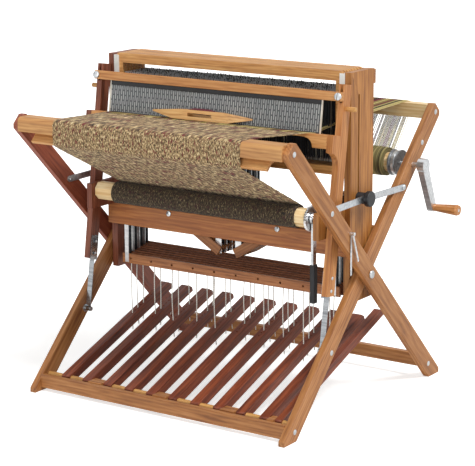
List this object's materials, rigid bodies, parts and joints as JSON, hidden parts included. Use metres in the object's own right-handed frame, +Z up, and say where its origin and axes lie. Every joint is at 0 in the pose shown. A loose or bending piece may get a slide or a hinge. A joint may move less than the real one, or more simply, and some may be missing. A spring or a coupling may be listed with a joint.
{
  "type": "floor loom",
  "caption": "Folding wooden floor loom with crossed legs, a castle of shafts on jacks and lamms, a swinging beater with reed, foot treadles, a cloth beam with ratchet and a cranked warp beam.",
  "frame": {"origin": "on the floor, under the middle of the whole outline with the crank's grip counted", "axes": "+X to the weaver's right, +Y from the weaver to the back, +Z up"},
  "size_m": [1.2174, 1.021, 1.134],
  "materials": {
    "frame_wood": "oiled",
    "pale_wood": "oiled",
    "dark_wood": "oiled",
    "steel": "satin",
    "black_iron": "satin",
    "black_plastic": "matte",
    "white_plastic": "matte",
    "heddle_cord": "matte",
    "cloth": "woven",
    "warp_yarn": "matte",
    "white_cord": "matte"
  },
  "bodies": {
    "castle": {"castle_sides": "frame_wood", "castle_back_rails": "frame_wood", "front_board": "frame_wood", "shaft_guides": "white_plastic", "beam_cheeks": "frame_wood", "castle_bolts": "steel"},
    "breast_frame": {"breast_leg_left": "frame_wood", "breast_leg_right": "frame_wood", "breast_beam": "pale_wood", "cloth_slat": "pale_wood", "rear_floor_rail": "frame_wood", "breast_leg_bolts": "steel", "cloth_web": "cloth", "threading_hooks": "steel"},
    "back_frame": {"back_leg_left": "frame_wood", "back_leg_right": "frame_wood", "back_beam": "pale_wood", "front_floor_rail": "frame_wood", "back_leg_bolts": "steel", "treadle_rod": "steel", "treadle_spacers": "pale_wood", "brake_cable": "steel", "warp_web": "warp_yarn"},
    "fold_knobs": {"fold_knobs": "black_plastic"},
    "front_struts": {"front_struts": "steel"},
    "rear_struts": {"rear_struts": "steel"},
    "spring_feet": {"spring_feet": "steel"},
    "beater": {"beater_arms": "frame_wood", "beater_top_rail": "pale_wood", "race_board": "pale_wood", "reed": "steel", "beater_springs": "steel", "beater_bolts": "steel"},
    "shuttle": {"shuttle": "pale_wood"},
    "cloth_beam": {"cloth_beam": "pale_wood", "ratchet_wheel": "black_iron", "cloth_roll": "cloth"},
    "ratchet_lever": {"ratchet_lever": "black_iron", "lever_grip": "black_plastic"},
    "ratchet_pawl": {"ratchet_pawl": "black_iron"},
    "warp_beam": {"warp_beam": "pale_wood", "brake_drum": "black_iron", "warp_roll": "warp_yarn", "crank": "steel"},
    "crank_grip": {"crank_grip": "pale_wood"},
    "brake_pedal": {"brake_pedal": "dark_wood"},
    "shafts_odd": {"shafts_odd": "frame_wood", "heddles_odd": "heddle_cord"},
    "lamms_odd": {"lamms_odd": "frame_wood", "tie_cords_odd": "white_cord"},
    "jacks_right_odd": {"jacks_right_odd": "frame_wood"},
    "jacks_left_odd": {"jacks_left_odd": "frame_wood"},
    "treadles_odd": {"treadles_odd": "dark_wood"},
    "shafts_even": {"shafts_even": "frame_wood", "heddles_even": "heddle_cord"},
    "lamms_even": {"lamms_even": "frame_wood", "tie_cords_even": "white_cord"},
    "jacks_right_even": {"jacks_right_even": "frame_wood"},
    "jacks_left_even": {"jacks_left_even": "frame_wood"},
    "treadles_even": {"treadles_even": "dark_wood"}
  },
  "joints": [
    {"name": "fold", "type": "hinge", "parent": "castle", "child": "breast_frame", "pos_m": [-0.05665, 0, 0.462], "axis": [-1, 0, 0], "range_deg": [0, 22], "deforming": ["cloth_web", "warp_web", "tie_cords_odd", "tie_cords_even"]},
    {"name": "back_fold", "type": "hinge", "parent": "castle", "child": "back_frame", "pos_m": [-0.05665, 0, 0.462], "axis": [1, 0, 0], "range_deg": [0, 22], "deforming": ["cloth_web", "warp_web", "tie_cords_odd", "tie_cords_even"]},
    {"name": "knob_slide", "type": "slide", "parent": "castle", "child": "fold_knobs", "axis": [0, 0, 1], "range_m": [0, 0.2776]},
    {"name": "front_strut_swing", "type": "hinge", "parent": "breast_frame", "child": "front_struts", "pos_m": [-0.05665, -0.24798, 0.70998], "axis": [1, 0, 0], "range_deg": [0, 77.59]},
    {"name": "rear_strut_swing", "type": "hinge", "parent": "back_frame", "child": "rear_struts", "pos_m": [-0.05665, 0.24798, 0.70998], "axis": [-1, 0, 0], "range_deg": [0, 77.59]},
    {"name": "beater_fold", "type": "hinge", "parent": "back_frame", "child": "spring_feet", "pos_m": [-0.05665, -0.207, 0.24], "axis": [1, 0, 0], "range_deg": [-14.35, 0]},
    {"name": "beater_swing", "type": "hinge", "parent": "spring_feet", "child": "beater", "pos_m": [-0.05665, -0.207, 0.24], "axis": [1, 0, 0], "range_deg": [0, 14], "deforming": ["cloth_web"]},
    {"name": "shuttle_throw", "type": "slide", "parent": "beater", "child": "shuttle", "axis": [1, 0, 0], "range_m": [-0.22, 0.25]},
    {"name": "cloth_beam_turn", "type": "hinge", "parent": "castle", "child": "cloth_beam", "pos_m": [-0.05665, -0.17, 0.666], "axis": [1, 0, 0], "continuous": true},
    {"name": "lever_swing", "type": "hinge", "parent": "castle", "child": "ratchet_lever", "pos_m": [0.37235, -0.17, 0.666], "axis": [-1, 0, 0], "range_deg": [0, 45]},
    {"name": "pawl_lift", "type": "hinge", "parent": "castle", "child": "ratchet_pawl", "pos_m": [0.36185, -0.1, 0.683], "axis": [1, 0, 0], "range_deg": [0, 25], "stiffness_Nm_per_rad": 0.03, "springref_deg": -17.19},
    {"name": "warp_beam_turn", "type": "hinge", "parent": "back_frame", "child": "warp_beam", "pos_m": [-0.05665, 0.31608, 0.77808], "axis": [1, 0, 0], "continuous": true},
    {"name": "crank_grip_spin", "type": "hinge", "parent": "warp_beam", "child": "crank_grip", "pos_m": [0.56165, 0.38604, 0.62095], "axis": [1, 0, 0], "continuous": true},
    {"name": "brake_pedal_press", "type": "hinge", "parent": "back_frame", "child": "brake_pedal", "pos_m": [0.39835, -0.41, 0.048], "axis": [-1, 0, 0], "range_deg": [0, 6], "stiffness_Nm_per_rad": 4, "springref_deg": -17.19, "deforming": ["brake_cable"]},
    {"name": "shafts_odd_lift", "type": "slide", "parent": "castle", "child": "shafts_odd", "axis": [0, 0, 1], "range_m": [0, 0.0595], "deforming": ["tie_cords_odd"]},
    {"name": "lamms_odd_drop", "type": "slide", "parent": "castle", "child": "lamms_odd", "axis": [0, 0, -1], "range_m": [0, 0.0501], "deforming": ["tie_cords_odd"]},
    {"name": "jacks_right_odd_turn", "type": "hinge", "parent": "castle", "child": "jacks_right_odd", "pos_m": [0.16835, 0, 0.589], "axis": [0, 1, 0], "range_deg": [0, 14.02]},
    {"name": "jacks_left_odd_turn", "type": "hinge", "parent": "castle", "child": "jacks_left_odd", "pos_m": [-0.28165, 0, 0.589], "axis": [0, -1, 0], "range_deg": [0, 14.02]},
    {"name": "treadles_odd_press", "type": "hinge", "parent": "back_frame", "child": "treadles_odd", "pos_m": [-0.05665, -0.41, 0.048], "axis": [-1, 0, 0], "range_deg": [0, 6.61], "deforming": ["tie_cords_odd"]},
    {"name": "shafts_even_lift", "type": "slide", "parent": "castle", "child": "shafts_even", "axis": [0, 0, 1], "range_m": [0, 0.0595], "deforming": ["tie_cords_even"]},
    {"name": "lamms_even_drop", "type": "slide", "parent": "castle", "child": "lamms_even", "axis": [0, 0, -1], "range_m": [0, 0.0501], "deforming": ["tie_cords_even"]},
    {"name": "jacks_right_even_turn", "type": "hinge", "parent": "castle", "child": "jacks_right_even", "pos_m": [0.16835, 0, 0.589], "axis": [0, 1, 0], "range_deg": [0, 14.02]},
    {"name": "jacks_left_even_turn", "type": "hinge", "parent": "castle", "child": "jacks_left_even", "pos_m": [-0.28165, 0, 0.589], "axis": [0, -1, 0], "range_deg": [0, 14.02]},
    {"name": "treadles_even_press", "type": "hinge", "parent": "back_frame", "child": "treadles_even", "pos_m": [-0.05665, -0.41, 0.048], "axis": [-1, 0, 0], "range_deg": [0, 6.61], "deforming": ["tie_cords_even"]}
  ],
  "couplings": [
    {"joint": "back_fold", "follows": "fold", "ratio": 1},
    {"joint": "knob_slide", "follows": "fold", "m_per_rad": 0.72271},
    {"joint": "front_strut_swing", "follows": "fold", "ratio": 3.5246},
    {"joint": "rear_strut_swing", "follows": "fold", "ratio": 3.5246},
    {"joint": "beater_fold", "follows": "fold", "ratio": -0.65},
    {"joint": "lamms_odd_drop", "follows": "shafts_odd_lift", "ratio": 0.84034},
    {"joint": "jacks_right_odd_turn", "follows": "shafts_odd_lift", "rad_per_m": 4.1067},
    {"joint": "jacks_left_odd_turn", "follows": "shafts_odd_lift", "rad_per_m": 4.1067},
    {"joint": "treadles_odd_press", "follows": "shafts_odd_lift", "rad_per_m": 1.936},
    {"joint": "lamms_even_drop", "follows": "shafts_even_lift", "ratio": 0.84034},
    {"joint": "jacks_right_even_turn", "follows": "shafts_even_lift", "rad_per_m": 4.1067},
    {"joint": "jacks_left_even_turn", "follows": "shafts_even_lift", "rad_per_m": 4.1067},
    {"joint": "treadles_even_press", "follows": "shafts_even_lift", "rad_per_m": 1.936}
  ]
}
